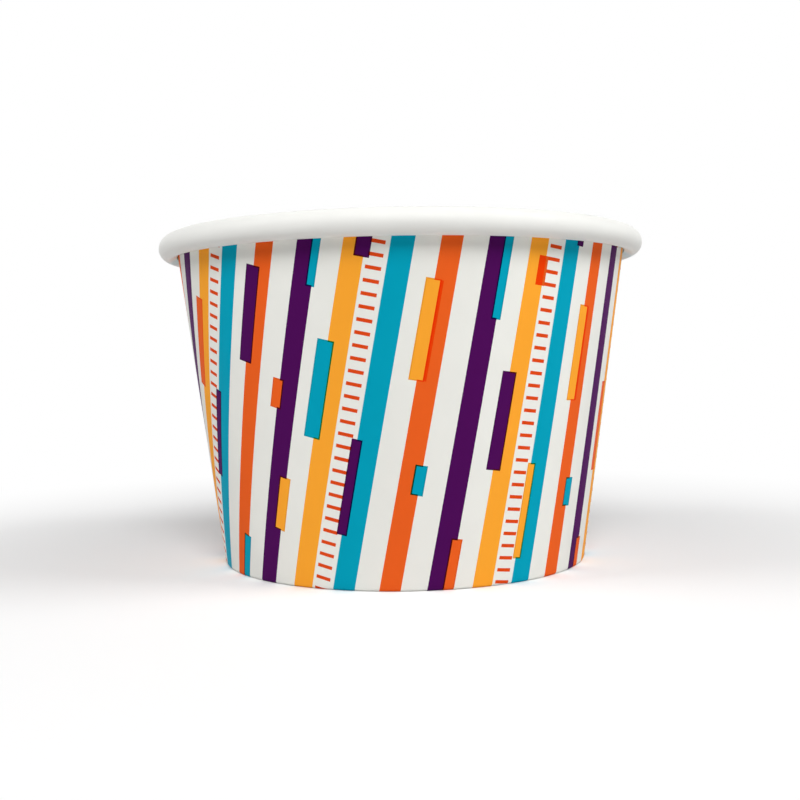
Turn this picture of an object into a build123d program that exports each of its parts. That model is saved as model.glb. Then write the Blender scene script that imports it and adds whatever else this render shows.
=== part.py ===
"""A paper dessert cup: a wound sidewall of coated board, and a bottom sealed into its folded foot.

Millimetres. +Z is up, and the origin is on the table under the middle of the cup. The side seam is at +Y.
"""

import os
from math import asin, atan2, cos, degrees, hypot, radians, sin, tan

from build123d import *

# Overall sizes
rim_diameter = 76.0
cup_height = 51.0
foot_diameter = 57.5

# Sidewall board, with its rolled rim and folded foot
board = 0.36
roll_height = 3.7
lip_inside = 0.2  # radius where the wall turns over into the rim, on the outer face of the lapped seam
roll_tighten = 0.15  # from each arc of the roll to the next
tuck_rise = 0.5  # how far the rolled edge turns up under the rim
tuck_gap = 0.2  # between the rolled edge and the wall
fold_radius = 0.1  # on the inner face of the board
fold_height = 2.6  # from the table to the folded-in edge

# Side seam
seam_lap = 7.0  # measured under the rim
seam_ramp = 3.0  # where the outer end climbs over the inner one, measured under the rim
seam_foot = 0.6  # from the start of the wall to the foot of the outer end

# Bottom
floor_board = 0.30
floor_height = 5.0  # from the table to the underside of the floor
floor_bend = 0.5  # on the underside
seal_gap = 0.05  # between the skirt and the board on each side of it
skirt_gap = 0.3  # between the skirt's edge and the inside of the fold

# Steps that a bend of the board is drawn in
lip_steps = 2
roll_steps = 4
fold_steps = 1

# The rim's face is half a turn of arcs that tighten, with its widest point at the middle.
roll_turn = 180 / roll_steps
roll_radii = [roll_height / 2 + roll_tighten * ((roll_steps - 1) / 2 - step) for step in range(roll_steps)]
roll_sines = [sin(radians(roll_turn * step)) for step in range(roll_steps // 2 + 1)]
roll_reach = sum(radius * (b - a) for radius, a, b in zip(roll_radii, roll_sines, roll_sines[1:]))
roll_x = rim_diameter / 2 - roll_reach

# The wall runs straight from the foot to the lip's bend.
foot_radius = foot_diameter / 2
lip_radius = lip_inside + 2 * board  # on the inner face
lip_centre = Vector(roll_x, cup_height - lip_radius)
lip_reach = hypot(roll_x - foot_radius, lip_centre.Y)
lean = degrees(atan2(roll_x - foot_radius, lip_centre.Y) - asin((lip_radius - board) / lip_reach))
slope = tan(radians(lean))
up_wall = Vector(sin(radians(lean)), cos(radians(lean)))
neck_z = cup_height - roll_height
neck_radius = foot_radius + neck_z * slope

# The fold goes round the skirt in two bends, with a flat between them to stand on.
turn_z = board + fold_radius
outer_turn = Vector(foot_radius - turn_z * (1 - up_wall.X) / up_wall.Y, turn_z)
skirt_space = floor_board + 2 * seal_gap
foot_flat = (skirt_space - 2 * fold_radius) / up_wall.Y
inner_turn = outer_turn - Vector(foot_flat, 0)

lap_angle = degrees(seam_lap / neck_radius)
ramp_angle = degrees(seam_ramp / neck_radius)
lap_start = 90 - lap_angle / 2
ramp_start = lap_start - ramp_angle


def around(centre, radius, direction):
    """The point at a radius from a centre, in a direction in degrees."""
    return centre + Vector(radius, 0).rotate(Axis.Z, direction)


def bend_points(centre, radius, first, last, steps):
    """Points round a bend, from one direction to another."""
    return [around(centre, radius, first + (last - first) * step / steps) for step in range(steps + 1)]


def wall_point(height, depth):
    """A point on the wall at a height, at a depth into the board from its inner face."""
    return Vector(foot_radius + height * slope - (board - depth) / up_wall.Y, height)


def fold_line(depth):
    """The folded foot at a depth into the board, from its free edge to the start of the wall."""
    radius = fold_radius + depth
    inner_bend = bend_points(inner_turn, radius, 180 - lean, 270, fold_steps)
    outer_bend = bend_points(outer_turn, radius, 270, 360 - lean, fold_steps)
    free_edge = inner_bend[0] + up_wall * (fold_height - inner_turn.Y) / up_wall.Y
    Polyline(free_edge, *inner_bend, *outer_bend)
    return free_edge, outer_bend[-1]


def roll_points(depth):
    """The ends of the rim's arcs at a depth into the board, from the top of the rim to the bottom."""
    points = [Vector(roll_x, cup_height - depth)]
    for step, radius in enumerate(roll_radii):
        centre = around(points[-1], depth - radius, 90 - roll_turn * step)
        points.append(around(centre, radius - depth, 90 - roll_turn * (step + 1)))
    return points


def roll_line(depth, wall_start):
    """The wall and the rim's roll at a depth into the board. The rim shows the board's inner face, which is
    round, and the face inside the roll is drawn in flats."""
    lip = bend_points(lip_centre, lip_radius - depth, 180 - lean, 90, lip_steps)
    roll = roll_points(depth)
    Polyline(wall_start, *lip)
    if depth:
        Polyline(*roll)
    else:
        for start, end, radius in zip(roll, roll[1:], roll_radii):
            RadiusArc(start, end, radius)
    return roll[-1]


def tuck_line(depth, roll_end):
    """The rolled edge that turns up to the wall, at a depth into the board."""
    edge_z = neck_z + tuck_rise
    edge = Vector(foot_radius + edge_z * slope + tuck_gap, edge_z + depth)
    Line(roll_end, edge)
    return edge


def whole_line(depth):
    """The whole board from the folded foot to the rolled edge."""
    start, wall_start = fold_line(depth)
    return start, tuck_line(depth, roll_line(depth, wall_start))


def lapped_line(depth):
    """The stretch of the board that is lapped at the seam."""
    start = wall_point(turn_z + seam_foot, depth)
    return start, roll_line(depth, start)


def foot_line(depth):
    """The folded foot with the start of the wall, which passes under the lap."""
    start, wall_start = fold_line(depth)
    end = wall_point(turn_z + 2 * seam_foot, depth)
    Line(wall_start, end)
    return start, end


def floor_line(depth):
    """The bottom at a depth into its board, from the axis to the edge of its skirt."""
    bend_z = floor_height - floor_bend
    bend_centre = wall_point(bend_z, -seal_gap - floor_board - floor_bend)
    bend = bend_points(bend_centre, floor_bend + floor_board - depth, 90, -lean, fold_steps)
    centre = Vector(0, bend[0].Y)
    edge = bend[-1] - up_wall * (bend_z - board - skirt_gap) / up_wall.Y
    Polyline(centre, *bend, edge)
    return centre, edge


def board_section(line, depth, thickness, azimuth):
    """The section of a board between two depths, closed at both ends and stood up at an azimuth."""
    across = Vector(1, 0, 0).rotate(Axis.Z, azimuth)
    with BuildSketch(Plane((0, 0, 0), x_dir=across, z_dir=across.cross(Vector(0, 0, 1)))) as section:
        with BuildLine():
            near = line(depth)
            far = line(depth + thickness)
            Line(near[0], far[0])
            Line(near[1], far[1])
        make_face()
    return section.sketch


# Sidewall: the board goes round from the inner end of the seam to the ramp. The foot goes on under the ramp,
# and the ramp climbs by one board, so that the outer end lies on the inner one, inside the roll too.
inner_end = board_section(whole_line, 0, board, lap_start)
foot_end = board_section(foot_line, 0, board, ramp_start)
ramp_end = board_section(lapped_line, 0, board, ramp_start)
outer_end = board_section(lapped_line, board, board, lap_start)
with BuildPart() as sidewall:
    revolve(inner_end, Axis.Z, 360 - ramp_angle)
    revolve(foot_end, Axis.Z, ramp_angle)
    loft([ramp_end, outer_end], ruled=True)
    revolve(outer_end, Axis.Z, lap_angle)
sidewall.part.label = "sidewall"

# Bottom, with its skirt in the fold
with BuildPart() as bottom:
    revolve(board_section(floor_line, 0, floor_board, 0), Axis.Z)
bottom.part.label = "bottom"

os.makedirs("parts", exist_ok=True)
export_step(sidewall.part, "parts/sidewall.step")
export_step(bottom.part, "parts/bottom.step")
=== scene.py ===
"""Dresses the paper dessert cup: coated board with a striped print, on a pale floor in soft studio light.

Lengths are in millimetres until a mesh or the camera is made, but those of the grain, the floor and the lamps
are in metres. +Z is up, the photograph looks along +Y, and the cup's side seam is behind, at +Y.
"""

from collections import namedtuple
from math import asin, atan2, cos, degrees, hypot, pi, radians, sin

import bmesh
import bpy
from mathutils import Matrix, Vector


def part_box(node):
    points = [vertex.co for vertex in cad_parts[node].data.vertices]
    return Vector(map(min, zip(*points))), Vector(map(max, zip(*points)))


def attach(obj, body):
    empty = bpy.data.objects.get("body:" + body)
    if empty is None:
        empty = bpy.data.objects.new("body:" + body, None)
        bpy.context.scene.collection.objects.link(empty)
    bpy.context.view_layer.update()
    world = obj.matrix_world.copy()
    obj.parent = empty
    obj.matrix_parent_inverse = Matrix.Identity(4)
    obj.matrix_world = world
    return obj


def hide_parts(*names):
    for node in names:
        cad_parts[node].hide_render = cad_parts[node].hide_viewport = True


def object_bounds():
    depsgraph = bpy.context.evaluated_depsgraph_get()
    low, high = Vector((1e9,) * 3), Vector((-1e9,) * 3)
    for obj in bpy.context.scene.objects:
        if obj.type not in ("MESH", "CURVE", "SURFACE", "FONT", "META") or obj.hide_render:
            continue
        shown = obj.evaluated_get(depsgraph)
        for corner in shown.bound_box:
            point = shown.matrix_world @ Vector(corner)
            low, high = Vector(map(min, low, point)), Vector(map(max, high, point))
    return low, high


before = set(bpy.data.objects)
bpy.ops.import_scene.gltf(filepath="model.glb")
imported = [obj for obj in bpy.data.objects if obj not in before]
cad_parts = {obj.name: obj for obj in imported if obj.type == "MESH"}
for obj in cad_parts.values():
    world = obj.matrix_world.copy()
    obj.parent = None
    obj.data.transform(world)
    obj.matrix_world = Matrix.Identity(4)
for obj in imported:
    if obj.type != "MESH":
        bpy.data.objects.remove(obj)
cad_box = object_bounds()

MM = 0.001

# The board's sizes, as the solids have them
RIM_RADIUS = cad_box[1].y / MM
CUP_HEIGHT = cad_box[1].z / MM
FLOOR_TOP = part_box("bottom")[1].z / MM
FOOT_RADIUS = 28.75
BOARD = 0.36
ROLL_HEIGHT = 3.7
ROLL_TIGHTEN = 0.15  # from each arc of the roll to the next
LIP_RADIUS = 0.92  # where the wall turns over into the rim, on the inner face
TUCK_RISE = 0.5  # how far the rolled edge turns up under the rim
TUCK_GAP = 0.2  # between the rolled edge and the wall
FOLD_RADIUS = 0.1  # on the inner face of the board
FOLD_HEIGHT = 2.6  # from the table to the folded-in edge
SEAM_LAP = 7.0  # measured under the rim
SEAM_RAMP = 3.0  # where the outer end climbs over the inner one, measured under the rim
SEAM_FOOT = 0.6  # from the start of the wall to the foot of the outer end
FLOOR_BOARD = 0.30
FLOOR_BEND = 0.5  # on the underside
SEAL_GAP = 0.05  # between the skirt and the board on each side of it
SKIRT_GAP = 0.3  # between the skirt's edge and the inside of the fold

# What the solids leave out
LAP_GAP = 0.02  # film of glue in the lapped seam
KNURL_DEPTH = 0.07  # ripples pressed into the folded foot
KNURL_COLUMNS = 3  # columns of the mesh for one ripple

# Steps of the mesh
ROUND_COLUMNS = 360
RAMP_COLUMNS = 6
LAP_COLUMNS = 12
WALL_ROWS = 12
FOLD_ROWS = 4  # up the fold, and up the skirt in it
TUCK_ROWS = 2
BEND_STEPS = 5
LIP_STEPS = 7
ROLL_ARCS = 4
ARC_STEPS = 6
FLOOR_RINGS = 10
SHARP_ANGLE = 40  # degrees
WELD = 0.002  # how close two points are joined

# The print, in millimetres across and along the stripes, from the front of the foot
SLANT = 10.75  # degrees
GROUP_PITCH = 25.3
GROUP_START = -10.0  # left edge of a group's first stripe
TILE_GROUPS = 3  # after which the bars repeat
TILE_EDGE = 2.0  # room left of the tile's first group, for the bar on that group's left edge
TILE_LENGTH = 57.0
TILE_BOTTOM = -7.0
TRAP = 0.1  # how far the inks of a bar and a stripe overprint, on each side of the bar's edge
TICK_PITCH = 1.728
TICK_PLACE = 0.9  # middle of a tick
TICK_THICK = 0.5

# Inks and boards, in sRGB
TEAL = (0, 160, 188)
ORANGE = (238, 97, 33)
PURPLE = (76, 10, 86)
YELLOW = (254, 168, 50)
TICK_RED = (224, 72, 20)
PRINTED_WHITE = (238, 238, 232)
COATED_WHITE = (234, 234, 230)
CUT_WHITE = (226, 219, 203)

# Stripes of a group: place of the left edge, width and ink
STRIPES = [
    (0.0, 3.0, TEAL),
    (6.35, 2.85, ORANGE),
    (12.78, 2.97, PURPLE),
    (19.13, 2.92, YELLOW),
]
LADDER = (22.55, 2.15)  # place and width of the column of ticks

# Short bars over the stripes' edges: group, left, width, bottom, length and ink
LONG, MIDDLE, SHORT = 13.4, 7.7, 4.0
BARS = [
    (0, -0.75, 1.4, 6.1, LONG, PURPLE),
    (0, 5.2, 2.2, 25.9, LONG, PURPLE),
    (0, 8.2, 1.5, -7.0, 7.1, TEAL),
    (0, 11.8, 1.6, 21.0, SHORT, ORANGE),
    (0, 14.7, 1.7, 3.8, MIDDLE, YELLOW),
    (0, 15.0, 1.1, 38.5, 11.4, TEAL),
    (0, 17.8, 2.2, 18.4, LONG, TEAL),
    (0, 20.9, 1.9, 43.6, SHORT, PURPLE),
    (1, -0.65, 1.3, 6.1, LONG, PURPLE),
    (1, 5.4, 1.9, 28.9, LONG, YELLOW),
    (1, 8.35, 1.5, 13.6, SHORT, TEAL),
    (1, 15.0, 1.4, -5.2, LONG, ORANGE),
    (1, 15.1, 1.2, 38.5, 11.4, TEAL),
    (1, 18.2, 2.0, 18.3, LONG, PURPLE),
    (2, -0.4, 1.2, 6.1, LONG, YELLOW),
    (2, 2.65, 1.2, -6.8, SHORT, PURPLE),
    (2, 5.5, 1.9, 28.8, LONG, YELLOW),
    (2, 8.4, 1.6, 13.5, SHORT, TEAL),
    (2, 14.8, 1.5, -5.2, LONG, ORANGE),
    (2, 17.9, 2.1, 18.3, LONG, ORANGE),
]

# Ink that lies over a stripe and darkens with it, in the same form
OVERPRINTS = [
    (1, 7.3, 0.4, 28.9, LONG, YELLOW),
    (2, 7.4, 0.4, 28.8, LONG, YELLOW),
    (1, 20.95, 1.6, 43.8, SHORT, ORANGE),
]

# The board's grain and clouding, in metres and with scales per metre
FIBRE_SCALE = 2600.0
FIBRE_DETAIL = 4.0
FIBRE_HEIGHT = 0.00002
FIBRE_ROUGHNESS = 0.05  # how far the fibres change the roughness, up and down
CLOUD_SCALE = 160.0
CLOUD_DETAIL = 3.0
CLOUD_SHADE = (0.975, 1.0)  # what the clouds multiply the colour by
NOISE_RANGE = (0.3, 0.7)  # where most of a noise's values lie

# The image that an exported copy keeps its colours in, with places as shares of it: four patches for the
# print, two over two, then strips for the coated faces and the sheet's ends. The bottom's two faces are discs
# in an image of their own.
PATCHES = 4
PATCH_WIDTH = 0.5
PATCH_HEIGHT = 0.42
PATCH_EDGE = 0.006
FOLD_STRIP = (0.845, 0.875)
WALL_STRIP = (0.88, 0.98)
END_STRIP = (0.985, 0.996)
END_WIDTH = 0.48
INNER_END, OUTER_END = 0.01, 0.51  # where the sheet's ends start along their strip
DISC_RADIUS = 0.26
UPPER_DISC, LOWER_DISC = Vector((0.27, 0.27)), Vector((0.73, 0.73))
DISC_EDGE = 1.0  # millimetres that the lower disc is widened by, to leave room for the skirt's cut edge

# Floor and surround, in metres. The camera sees the floor's own white, and the cup gets less light from it.
FLOOR_SIZE = 6.0
FLOOR_FADE = (0.04, 0.14)  # from the cup's axis to where the fade to plain white starts and ends
FLOOR_SEEN = 0.93
FLOOR_BOUNCE = 0.68
FLOOR_ROUGHNESS = 0.9
DOME = 0.12  # strength of the surround's light

# Lamps, in metres and degrees: bearing from the front towards +X, elevation, and share of plain light
LAMP_REACH = 0.7
LAMP_SIZE = 0.3
LAMPS = {
    "front": (5, 40, 0.56),
    "right": (75, 40, 0.46),
    "left": (-75, 40, 0.36),
}

# Camera, in millimetres and degrees, fitted to the rim, wall and foot in the photograph
CAMERA_PLACE = Vector((0.0, -171.5, 31.56))
CAMERA_PITCH = -2.19  # upwards
CAMERA_YAW = 0.145  # to the left
CAMERA_ROLL = 0.92  # clockwise
CAMERA_NEAR = 10.0  # what is nearer isn't drawn
FOCAL_PIXELS = 1058.7
PHOTO_WIDTH = 800


# The board's section, worked out as in the solids

# The rim's face is half a turn of arcs that tighten, with its widest point at the middle.
roll_turn = 180 / ROLL_ARCS
roll_radii = [ROLL_HEIGHT / 2 + ROLL_TIGHTEN * ((ROLL_ARCS - 1) / 2 - arc) for arc in range(ROLL_ARCS)]
roll_sines = [sin(radians(roll_turn * arc)) for arc in range(ROLL_ARCS // 2 + 1)]
roll_reach = sum(radius * (b - a) for radius, a, b in zip(roll_radii, roll_sines, roll_sines[1:]))
roll_x = RIM_RADIUS - roll_reach

# The wall runs straight from the foot to the lip's bend.
lip_centre = Vector((roll_x, CUP_HEIGHT - LIP_RADIUS))
lip_reach = hypot(roll_x - FOOT_RADIUS, lip_centre.y)
lean = degrees(atan2(roll_x - FOOT_RADIUS, lip_centre.y) - asin((LIP_RADIUS - BOARD) / lip_reach))
up_wall = Vector((sin(radians(lean)), cos(radians(lean))))
slope = up_wall.x / up_wall.y
neck_z = CUP_HEIGHT - ROLL_HEIGHT
neck_radius = FOOT_RADIUS + neck_z * slope
apex_to_foot = FOOT_RADIUS / up_wall.x

# The fold goes round the skirt in two bends, with a flat between them to stand on.
turn_z = BOARD + FOLD_RADIUS
outer_turn = Vector((FOOT_RADIUS - turn_z * (1 - up_wall.x) / up_wall.y, turn_z))
foot_flat = (FLOOR_BOARD + 2 * SEAL_GAP - 2 * FOLD_RADIUS) / up_wall.y
inner_turn = outer_turn - Vector((foot_flat, 0))
lap_z = turn_z + SEAM_FOOT

# The sheet goes once round and laps over its own start, behind.
lap_angle = degrees(SEAM_LAP / neck_radius)
ramp_angle = degrees(SEAM_RAMP / neck_radius)
lap_start = 90 - lap_angle / 2
sheet_turn = 360 + lap_angle


def around(centre, radius, direction):
    """The point at a radius from a centre, in a direction in degrees."""
    return centre + radius * Vector((cos(radians(direction)), sin(radians(direction))))


def bend(centre, radius, first, last, steps):
    """Points round a bend, from one direction to another."""
    return [around(centre, radius, first + (last - first) * step / steps) for step in range(steps + 1)]


def straight(start, end, steps):
    """Points after the start of a straight stretch, to its end."""
    return [start.lerp(end, step / steps) for step in range(1, steps + 1)]


def wall_point(height, depth):
    """A point on the wall at a height, at a depth into the board from its inner face."""
    return Vector((FOOT_RADIUS + height * slope - (BOARD - depth) / up_wall.y, height))


def fold_line(depth):
    """The folded foot at a depth into the board, from its free edge to the start of the lap."""
    inner_bend = bend(inner_turn, FOLD_RADIUS + depth, 180 - lean, 270, BEND_STEPS)
    outer_bend = bend(outer_turn, FOLD_RADIUS + depth, 270, 360 - lean, BEND_STEPS)
    free_edge = inner_bend[0] + up_wall * ((FOLD_HEIGHT - inner_turn.y) / up_wall.y)
    run = [free_edge, *straight(free_edge, inner_bend[0], FOLD_ROWS)]
    return [*run, *inner_bend[1:], *outer_bend, wall_point(lap_z, depth)]


def roll_line(depth):
    """The rim's roll at a depth into the board, from the top of the rim to the rolled edge."""
    points = [Vector((roll_x, CUP_HEIGHT - depth))]
    for arc, radius in enumerate(roll_radii):
        first = 90 - roll_turn * arc
        centre = around(points[-1], depth - radius, first)
        points += bend(centre, radius - depth, first, first - roll_turn, ARC_STEPS)[1:]
    edge_z = neck_z + TUCK_RISE
    edge = Vector((FOOT_RADIUS + edge_z * slope + TUCK_GAP, edge_z + depth))
    return [*points, *straight(points[-1], edge, TUCK_ROWS)]


def wall_line(depth):
    """The wall and the rim at a depth into the board, from the start of the lap to the rolled edge."""
    lip = bend(lip_centre, LIP_RADIUS - depth, 180 - lean, 90, LIP_STEPS)
    foot = wall_point(lap_z, depth)
    return [foot, *straight(foot, lip[0], WALL_ROWS), *lip[1:], *roll_line(depth)[1:]]


def floor_line(depth):
    """The bottom at a depth into its board, from the axis to the edge of its skirt."""
    bend_z = FLOOR_TOP - FLOOR_BOARD - FLOOR_BEND
    centre = wall_point(bend_z, -SEAL_GAP - FLOOR_BOARD - FLOOR_BEND)
    turn = bend(centre, FLOOR_BEND + FLOOR_BOARD - depth, 90, -lean, BEND_STEPS)
    middle = Vector((0, turn[0].y))
    edge = turn[-1] - up_wall * ((bend_z - BOARD - SKIRT_GAP) / up_wall.y)
    return [middle, *straight(middle, turn[0], FLOOR_RINGS), *turn[1:], *straight(turn[-1], edge, FOLD_ROWS)]


# The flat sheet and its print

PRINTED, COATED, CUT = range(3)  # finishes of the board's faces
Spot = namedtuple("Spot", "point height finish")  # of a section, with the finish of the stretch after it


def lengths_along(line):
    """How far each point of a line is along it."""
    lengths = [0.0]
    for a, b in zip(line, line[1:]):
        lengths.append(lengths[-1] + (b - a).length)
    return lengths


def face_spots(line, start, finish):
    """The spots of one face of the board, with their heights on the flat sheet. The lap's foot is at the spot
    with the index start."""
    lengths = lengths_along(line)
    below = lengths[start] - lap_z / up_wall.y
    return [Spot(point, length - below, finish) for point, length in zip(line, lengths)]


def board_section(line, depth, start):
    """The closed section of the board, up its coated face and back along its printed face."""
    inner = face_spots(line(depth), start, COATED)
    outer = face_spots(line(depth + BOARD), start, PRINTED)
    inner[-1] = inner[-1]._replace(finish=CUT)
    outer[0] = outer[0]._replace(finish=CUT)
    return inner + outer[::-1]


fold_section = board_section(fold_line, 0, -1)
wall_section = board_section(wall_line, 0, 0)
sheet_low = min(spot.height for spot in fold_section)
sheet_high = max(spot.height for spot in wall_section)


def print_place(azimuth, height):
    """The place in the print of a point of the sheet, at an azimuth in degrees and a height on the sheet."""
    turn = radians(azimuth - 270) * up_wall.x
    reach = apex_to_foot + height
    across, up = reach * sin(turn), reach * cos(turn) - apex_to_foot
    slant = radians(SLANT)
    return across * cos(slant) - up * sin(slant), across * sin(slant) + up * cos(slant)


def sheet_share(azimuth):
    """How far round the sheet an azimuth is, from 0 at the inner end to 1 at the outer end."""
    return (azimuth - lap_start) / sheet_turn


def patch_place(azimuth, height, patch):
    """The place in the image of a point of the printed face."""
    x = sheet_share(azimuth) * PATCHES - patch
    y = (height - sheet_low) / (sheet_high - sheet_low)
    return (
        patch % 2 * PATCH_WIDTH + PATCH_EDGE + x * (PATCH_WIDTH - 2 * PATCH_EDGE),
        patch // 2 * PATCH_HEIGHT + PATCH_EDGE + y * (PATCH_HEIGHT - 2 * PATCH_EDGE),
    )


def strip_place(azimuth, share, strip):
    """The place in a strip of the image of a point at a share of the way round its section."""
    low, high = strip
    return PATCH_EDGE + sheet_share(azimuth) * (1 - 2 * PATCH_EDGE), low + share * (high - low)


# Meshes

class Shell:
    """Faces with their places in the print and in the image."""

    def __init__(self):
        self.points, self.faces, self.finishes = [], [], []
        self.maps = {"print": [], "OFBake": []}

    def add_face(self, corners, finish):
        """Adds a face. Each corner is a point, a place in the print and a place in the image."""
        start = len(self.points)
        for point, in_print, in_image in corners:
            self.points.append(point * MM)
            self.maps["print"].extend(in_print)
            self.maps["OFBake"].extend(in_image)
        self.faces.append(range(start, start + len(corners)))
        self.finishes.append(finish)

    def make(self, name, materials):
        """The welded mesh as an object."""
        mesh = bpy.data.meshes.new(name)
        mesh.from_pydata(self.points, [], self.faces)
        for map_name, places in self.maps.items():
            mesh.uv_layers.new(name=map_name).uv.foreach_set("vector", places)
        mesh.polygons.foreach_set("material_index", self.finishes)
        for material in materials:
            mesh.materials.append(material)
        work = bmesh.new()
        work.from_mesh(mesh)
        bmesh.ops.remove_doubles(work, verts=work.verts, dist=WELD * MM)
        bmesh.ops.recalc_face_normals(work, faces=work.faces)
        work.to_mesh(mesh)
        work.free()
        mesh.shade_smooth()
        mesh.set_sharp_from_angle(angle=radians(SHARP_ANGLE))
        piece = bpy.data.objects.new(name, mesh)
        bpy.context.scene.collection.objects.link(piece)
        return piece


def stand_up(point, azimuth):
    """A point of a section, stood up at an azimuth in degrees."""
    angle = radians(azimuth)
    return Vector((point.x * cos(angle), point.x * sin(angle), point.y))


def ripple(section, column):
    """The folded foot's section, with the ripple that is pressed into it at every few columns."""
    if column % KNURL_COLUMNS:
        return section
    pressed = []
    for spot in section:
        if spot.point.x < inner_turn.x and turn_z < spot.point.y < FOLD_HEIGHT - BOARD:
            spot = spot._replace(point=spot.point - Vector((KNURL_DEPTH, 0)))
        pressed.append(spot)
    return pressed


def add_band(shell, column_a, column_b, strip, opening):
    """The faces between two neighbouring columns, each an azimuth with its section. The stretch of the
    section with the index opening is left open."""
    patch = int(sheet_share((column_a[0] + column_b[0]) / 2) * PATCHES)
    count = len(column_a[1])
    for index in range(count):
        if index == opening:
            continue
        finish = column_a[1][index].finish
        corners = []
        after = index + 1
        for column, step in ((column_a, index), (column_b, index), (column_b, after), (column_a, after)):
            azimuth, section = column
            spot = section[step % count]
            if finish == PRINTED:
                in_image = patch_place(azimuth, spot.height, patch)
            else:
                in_image = strip_place(azimuth, step / count, strip)
            corners.append((stand_up(spot.point, azimuth), print_place(azimuth, spot.height), in_image))
        shell.add_face(corners, finish)


def add_bands(shell, columns, strip, joint):
    """The faces between all the columns. The fold and the wall are open to each other at the stretch with the
    index joint, up to the ramp, where the wall leaves the fold."""
    for index, (column_a, column_b) in enumerate(zip(columns, columns[1:])):
        add_band(shell, column_a, column_b, strip, joint if index < ROUND_COLUMNS else None)


def add_end(shell, column, first_x):
    """The cut edge of the sheet at one of its ends."""
    azimuth, section = column
    low, high = END_STRIP
    steps = len(section) // 2 - 1
    for index in range(steps):
        corners = []
        for step, y in ((index, low), (index + 1, low), (index + 1, high), (index, high)):
            spot = section[step if y == low else -1 - step]
            in_image = (first_x + END_WIDTH * step / steps, y)
            corners.append((stand_up(spot.point, azimuth), print_place(azimuth, spot.height), in_image))
        shell.add_face(corners, CUT)


def steps_between(first, last, steps):
    """Azimuths from the first to the last."""
    return [first + (last - first) * step / steps for step in range(steps + 1)]


def ease(share):
    """A smooth rise from 0 to 1."""
    return share * share * (3 - 2 * share)


def make_sidewall(materials):
    """The wound sheet: a turn that ends in a ramp, and a lap, over a folded foot that goes once round."""
    shell = Shell()
    turn = steps_between(lap_start, lap_start + 360 - ramp_angle, ROUND_COLUMNS)
    ramp = steps_between(lap_start + 360 - ramp_angle, lap_start + 360, RAMP_COLUMNS)[1:]
    lap = steps_between(lap_start + 360, lap_start + sheet_turn, LAP_COLUMNS)[1:]

    fold_columns = [(azimuth, ripple(fold_section, column)) for column, azimuth in enumerate(turn + ramp)]
    fold_top = len(fold_section) // 2 - 1
    add_bands(shell, fold_columns, FOLD_STRIP, fold_top)

    climb = [ease(step / RAMP_COLUMNS) for step in range(1, RAMP_COLUMNS + 1)]
    wall_columns = []
    for azimuth, lift in zip(turn + ramp + lap, [0] * len(turn) + climb + [1] * len(lap)):
        wall_columns.append((azimuth, board_section(wall_line, lift * (BOARD + LAP_GAP), 0)))
    wall_foot = len(wall_section) - 1
    add_bands(shell, wall_columns, WALL_STRIP, wall_foot)

    add_end(shell, wall_columns[0], INNER_END)
    add_end(shell, wall_columns[-1], OUTER_END)
    return shell.make("sidewall_board", materials)


def make_bottom(materials):
    """The round bottom with its skirt. It has no print and one finish."""
    shell = Shell()
    upper, lower = floor_line(0), floor_line(FLOOR_BOARD)
    section = upper + lower[::-1]
    reach = lengths_along(upper) + [length + DISC_EDGE for length in lengths_along(lower)[::-1]]
    scale = DISC_RADIUS / max(reach)
    azimuths = steps_between(0, 360, ROUND_COLUMNS)
    for a, b in zip(azimuths, azimuths[1:]):
        for index in range(len(section) - 1):
            disc = UPPER_DISC if index < len(upper) else LOWER_DISC
            corners = []
            for azimuth, step in ((a, index), (b, index), (b, index + 1), (a, index + 1)):
                in_image = around(disc, scale * reach[step], azimuth)
                corners.append((stand_up(section[step], azimuth), section[step], in_image))
            shell.add_face(corners, 0)
    return shell.make("bottom_board", materials)


# Materials

def linear(colour):
    """An sRGB colour of three numbers up to 255, in the linear values that the nodes take."""
    values = [c / 255 for c in colour]
    return (*[v / 12.92 if v <= 0.04045 else ((v + 0.055) / 1.055) ** 2.4 for v in values], 1.0)


class Nodes:
    """A material's node tree, with short calls for the nodes that it uses."""

    def __init__(self, name):
        self.material = bpy.data.materials.new(name)
        self.material.use_nodes = True
        self.tree = self.material.node_tree
        self.shader = self.tree.nodes["Principled BSDF"]

    def add(self, kind, **settings):
        """A new node with its settings."""
        node = self.tree.nodes.new(kind)
        for name, value in settings.items():
            setattr(node, name, value)
        return node

    def feed(self, socket, value):
        """Links a socket to another one, or sets it to a plain value."""
        if isinstance(value, bpy.types.NodeSocket):
            self.tree.links.new(value, socket)
        else:
            socket.default_value = value

    def math(self, operation, *values):
        """The result of an operation on numbers."""
        node = self.add("ShaderNodeMath", operation=operation)
        for socket, value in zip(node.inputs, values):
            self.feed(socket, value)
        return node.outputs[0]

    def mix(self, factor, a, b, blend="MIX"):
        """A blend of two colours."""
        node = self.add("ShaderNodeMix", data_type="RGBA", blend_type=blend)
        self.feed(node.inputs["Factor"], factor)
        colours = [socket for socket in node.inputs if socket.type == "RGBA"]
        self.feed(colours[0], a)
        self.feed(colours[1], b)
        return next(socket for socket in node.outputs if socket.type == "RGBA")

    def noise(self, scale, detail):
        """A noise through the piece."""
        node = self.add("ShaderNodeTexNoise")
        self.feed(node.inputs["Vector"], self.add("ShaderNodeTexCoord").outputs["Object"])
        self.feed(node.inputs["Scale"], scale)
        self.feed(node.inputs["Detail"], detail)
        return node.outputs["Fac"]

    def spread(self, value, before, after, **settings):
        """A number taken from one range to another, and held inside it."""
        node = self.add("ShaderNodeMapRange", **settings)
        self.feed(node.inputs["Value"], value)
        for name, number in zip(("From Min", "From Max", "To Min", "To Max"), (*before, *after)):
            self.feed(node.inputs[name], number)
        return node.outputs["Result"]


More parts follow.
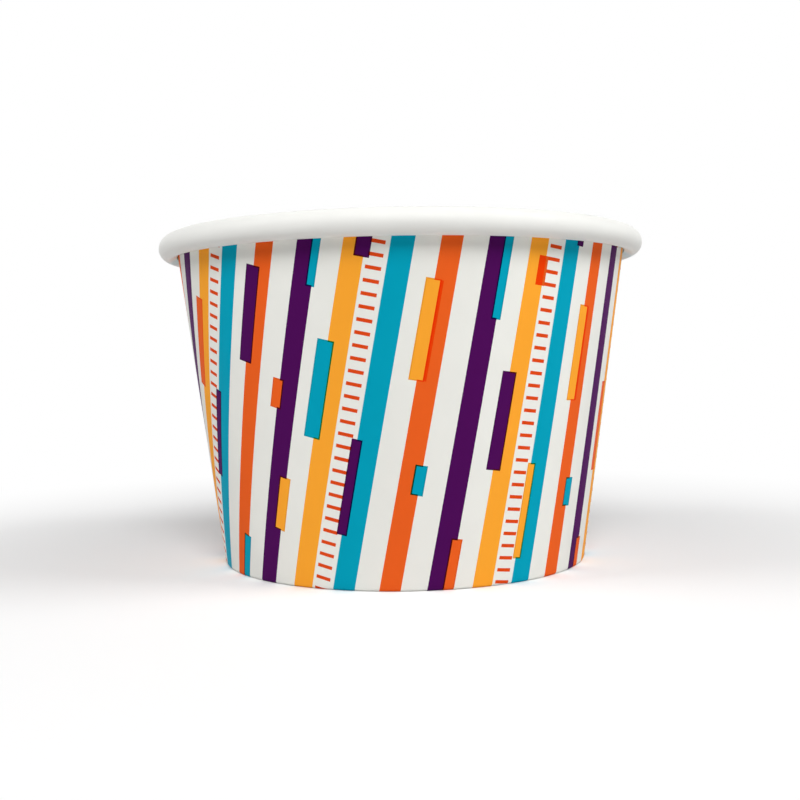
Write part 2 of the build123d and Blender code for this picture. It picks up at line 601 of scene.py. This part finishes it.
def board_finish(nodes, colour, roughness, sheen, grain):
    """A coated board's sheen, with faint clouding of its colour and the grain of its fibres."""
    cloud = nodes.noise(CLOUD_SCALE, CLOUD_DETAIL)
    fibre = nodes.noise(FIBRE_SCALE, FIBRE_DETAIL)
    shaded = nodes.add("ShaderNodeVectorMath", operation="SCALE")
    nodes.feed(shaded.inputs[0], colour)
    nodes.feed(shaded.inputs["Scale"], nodes.spread(cloud, NOISE_RANGE, CLOUD_SHADE))
    nodes.feed(nodes.shader.inputs["Base Color"], shaded.outputs[0])
    rough_range = (roughness - FIBRE_ROUGHNESS, roughness + FIBRE_ROUGHNESS)
    nodes.feed(nodes.shader.inputs["Roughness"], nodes.spread(fibre, NOISE_RANGE, rough_range))
    nodes.feed(nodes.shader.inputs["Specular IOR Level"], sheen)
    bump = nodes.add("ShaderNodeBump")
    nodes.feed(bump.inputs["Strength"], grain)
    nodes.feed(bump.inputs["Distance"], FIBRE_HEIGHT)
    nodes.feed(bump.inputs["Height"], fibre)
    nodes.feed(nodes.shader.inputs["Normal"], bump.outputs["Normal"])
    return nodes.material


def coated_board():
    """The coated white inside of the board, which also shows on the rim."""
    white = linear(COATED_WHITE)[:3]
    return board_finish(Nodes("coated_board"), white, roughness=0.45, sheen=0.2, grain=0.25)


def cut_board():
    """The board's cut edges."""
    white = linear(CUT_WHITE)[:3]
    return board_finish(Nodes("cut_board"), white, roughness=0.8, sheen=0.1, grain=0.8)


def span(nodes, place, low, size):
    """1 where a place lies in a span, and 0 elsewhere."""
    return nodes.math("COMPARE", place, low + size / 2, size / 2)


def repeat(nodes, place, start, pitch):
    """The place in a pattern that repeats from a start."""
    return nodes.math("FLOORED_MODULO", nodes.math("SUBTRACT", place, start), pitch)


def stripes(nodes, in_group):
    """The group's wide stripes on white. The first one starts the group."""
    ramp = nodes.add("ShaderNodeValToRGB")
    ramp.color_ramp.interpolation = "CONSTANT"
    stops = ramp.color_ramp.elements
    stops.remove(stops[1])
    for left, width, ink in STRIPES:
        start = stops.new(left / GROUP_PITCH) if left else stops[0]
        start.color = linear(ink)
        stops.new((left + width) / GROUP_PITCH).color = linear(PRINTED_WHITE)
    nodes.feed(ramp.inputs["Fac"], nodes.math("DIVIDE", in_group, GROUP_PITCH))
    return ramp.outputs["Color"]


def ticks(nodes, in_group, along):
    """1 on the ticks of the group's narrow column, and 0 elsewhere."""
    up_tick = repeat(nodes, along, TICK_PLACE - TICK_THICK / 2, TICK_PITCH)
    return nodes.math("MULTIPLY", span(nodes, in_group, *LADDER), span(nodes, up_tick, 0, TICK_THICK))


def lay_bar(nodes, colour, tile, bar, grow, blend):
    """The colour with a bar's ink over it, where the bar is grown by a margin on every side."""
    group, left, width, bottom, length, ink = bar
    in_tile, up_tile = tile
    in_width = span(nodes, in_tile, TILE_EDGE + group * GROUP_PITCH + left - grow, width + 2 * grow)
    in_length = span(nodes, up_tile, bottom - TILE_BOTTOM - grow, length + 2 * grow)
    return nodes.mix(nodes.math("MULTIPLY", in_width, in_length), colour, linear(ink), blend)


def printed_board():
    """White board with slanted stripes, columns of ticks, and short bars that lie over the stripes' edges."""
    nodes = Nodes("printed_board")
    places = nodes.add("ShaderNodeSeparateXYZ")
    nodes.feed(places.inputs[0], nodes.add("ShaderNodeUVMap", uv_map="print").outputs["UV"])
    across, along = places.outputs["X"], places.outputs["Y"]

    in_group = repeat(nodes, across, GROUP_START, GROUP_PITCH)
    colour = nodes.mix(ticks(nodes, in_group, along), stripes(nodes, in_group), linear(TICK_RED))

    in_tile = repeat(nodes, across, GROUP_START - GROUP_PITCH - TILE_EDGE, GROUP_PITCH * TILE_GROUPS)
    tile = (in_tile, repeat(nodes, along, TILE_BOTTOM, TILE_LENGTH))
    for bar in OVERPRINTS:
        colour = lay_bar(nodes, colour, tile, bar, 0, "MULTIPLY")
    # A bar covers what is under it, and its ink darkens with the others along its edge
    for bar in BARS:
        colour = lay_bar(nodes, colour, tile, bar, TRAP, "MULTIPLY")
        colour = lay_bar(nodes, colour, tile, bar, -TRAP, "MIX")
    return board_finish(nodes, colour, roughness=0.55, sheen=0.03, grain=0.2)


# Pieces

printed, coated, cut = printed_board(), coated_board(), cut_board()

sidewall = make_sidewall([printed, coated, cut])
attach(sidewall, "root")
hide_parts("sidewall")

bottom = make_bottom([coated])
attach(bottom, "root")
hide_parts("bottom")


# Floor, light and camera

def seen_plainly(tree):
    """1 for rays from the camera and for what mirrors and glass show, and 0 for light on other things."""
    rays = tree.nodes.new("ShaderNodeLightPath")
    total = rays.outputs["Is Camera Ray"]
    for name in ("Is Glossy Ray", "Is Transmission Ray"):
        most = tree.nodes.new("ShaderNodeMath")
        most.operation = "MAXIMUM"
        tree.links.new(total, most.inputs[0])
        tree.links.new(rays.outputs[name], most.inputs[1])
        total = most.outputs[0]
    return total


def make_world():
    """An even white surround, which gives little light."""
    world = bpy.data.worlds.new("studio")
    world.use_nodes = True
    tree = world.node_tree
    background = tree.nodes["Background"]
    background.inputs["Color"].default_value = (1, 1, 1, 1)
    level = tree.nodes.new("ShaderNodeMapRange")
    level.inputs["To Min"].default_value = DOME
    level.inputs["To Max"].default_value = 1.0
    tree.links.new(seen_plainly(tree), level.inputs["Value"])
    tree.links.new(level.outputs["Result"], background.inputs["Strength"])
    bpy.context.scene.world = world


def pale_floor():
    """A pale floor that keeps the cup's shadow and fades to white away from it."""
    nodes = Nodes("pale_floor")
    seen = seen_plainly(nodes.tree)
    grey = nodes.mix(seen, [FLOOR_BOUNCE] * 3 + [1], [FLOOR_SEEN] * 3 + [1])
    nodes.feed(nodes.shader.inputs["Base Color"], grey)
    nodes.feed(nodes.shader.inputs["Roughness"], FLOOR_ROUGHNESS)
    away = nodes.add("ShaderNodeVectorMath", operation="LENGTH")
    nodes.feed(away.inputs[0], nodes.add("ShaderNodeTexCoord").outputs["Object"])
    fade = nodes.spread(away.outputs["Value"], FLOOR_FADE, (0, 1), interpolation_type="SMOOTHSTEP")
    both = nodes.add("ShaderNodeMixShader")
    nodes.feed(both.inputs[0], nodes.math("MULTIPLY", fade, seen))
    nodes.feed(both.inputs[1], nodes.shader.outputs[0])
    nodes.feed(both.inputs[2], nodes.add("ShaderNodeEmission").outputs[0])
    nodes.feed(nodes.tree.nodes["Material Output"].inputs["Surface"], both.outputs[0])
    return nodes.material


def make_floor(material):
    """A square floor under the cup."""
    half = FLOOR_SIZE / 2
    mesh = bpy.data.meshes.new("floor")
    mesh.from_pydata([(-half, -half, 0), (half, -half, 0), (half, half, 0), (-half, half, 0)], [], [range(4)])
    mesh.materials.append(material)
    floor = bpy.data.objects.new("floor", mesh)
    bpy.context.scene.collection.objects.link(floor)


def make_lamp(name, bearing, elevation, level):
    """A soft square lamp that faces the cup's middle. At level 1 it alone would show white as white."""
    data = bpy.data.lights.new(name, "AREA")
    data.size = LAMP_SIZE
    data.energy = level * (pi * LAMP_REACH) ** 2
    turn = Matrix.Rotation(radians(bearing), 4, "Z") @ Matrix.Rotation(radians(90 - elevation), 4, "X")
    middle = Matrix.Translation((0, 0, CUP_HEIGHT / 2 * MM))
    lamp = bpy.data.objects.new(name, data)
    lamp.matrix_world = middle @ turn @ Matrix.Translation((0, 0, LAMP_REACH))
    bpy.context.scene.collection.objects.link(lamp)


def make_camera():
    """The camera where the photograph was taken from."""
    data = bpy.data.cameras.new("camera")
    data.lens = data.sensor_width * FOCAL_PIXELS / PHOTO_WIDTH
    data.clip_start = CAMERA_NEAR * MM
    camera = bpy.data.objects.new("camera", data)
    turn = Matrix.Rotation(radians(CAMERA_YAW), 4, "Z") @ Matrix.Rotation(radians(90 + CAMERA_PITCH), 4, "X")
    roll = Matrix.Rotation(radians(-CAMERA_ROLL), 4, "Z")
    camera.matrix_world = Matrix.Translation(CAMERA_PLACE * MM) @ turn @ roll
    bpy.context.scene.collection.objects.link(camera)
    bpy.context.scene.camera = camera


make_world()
make_floor(pale_floor())
for name, settings in LAMPS.items():
    make_lamp(name, *settings)
make_camera()
bpy.context.scene.view_settings.view_transform = "Standard"
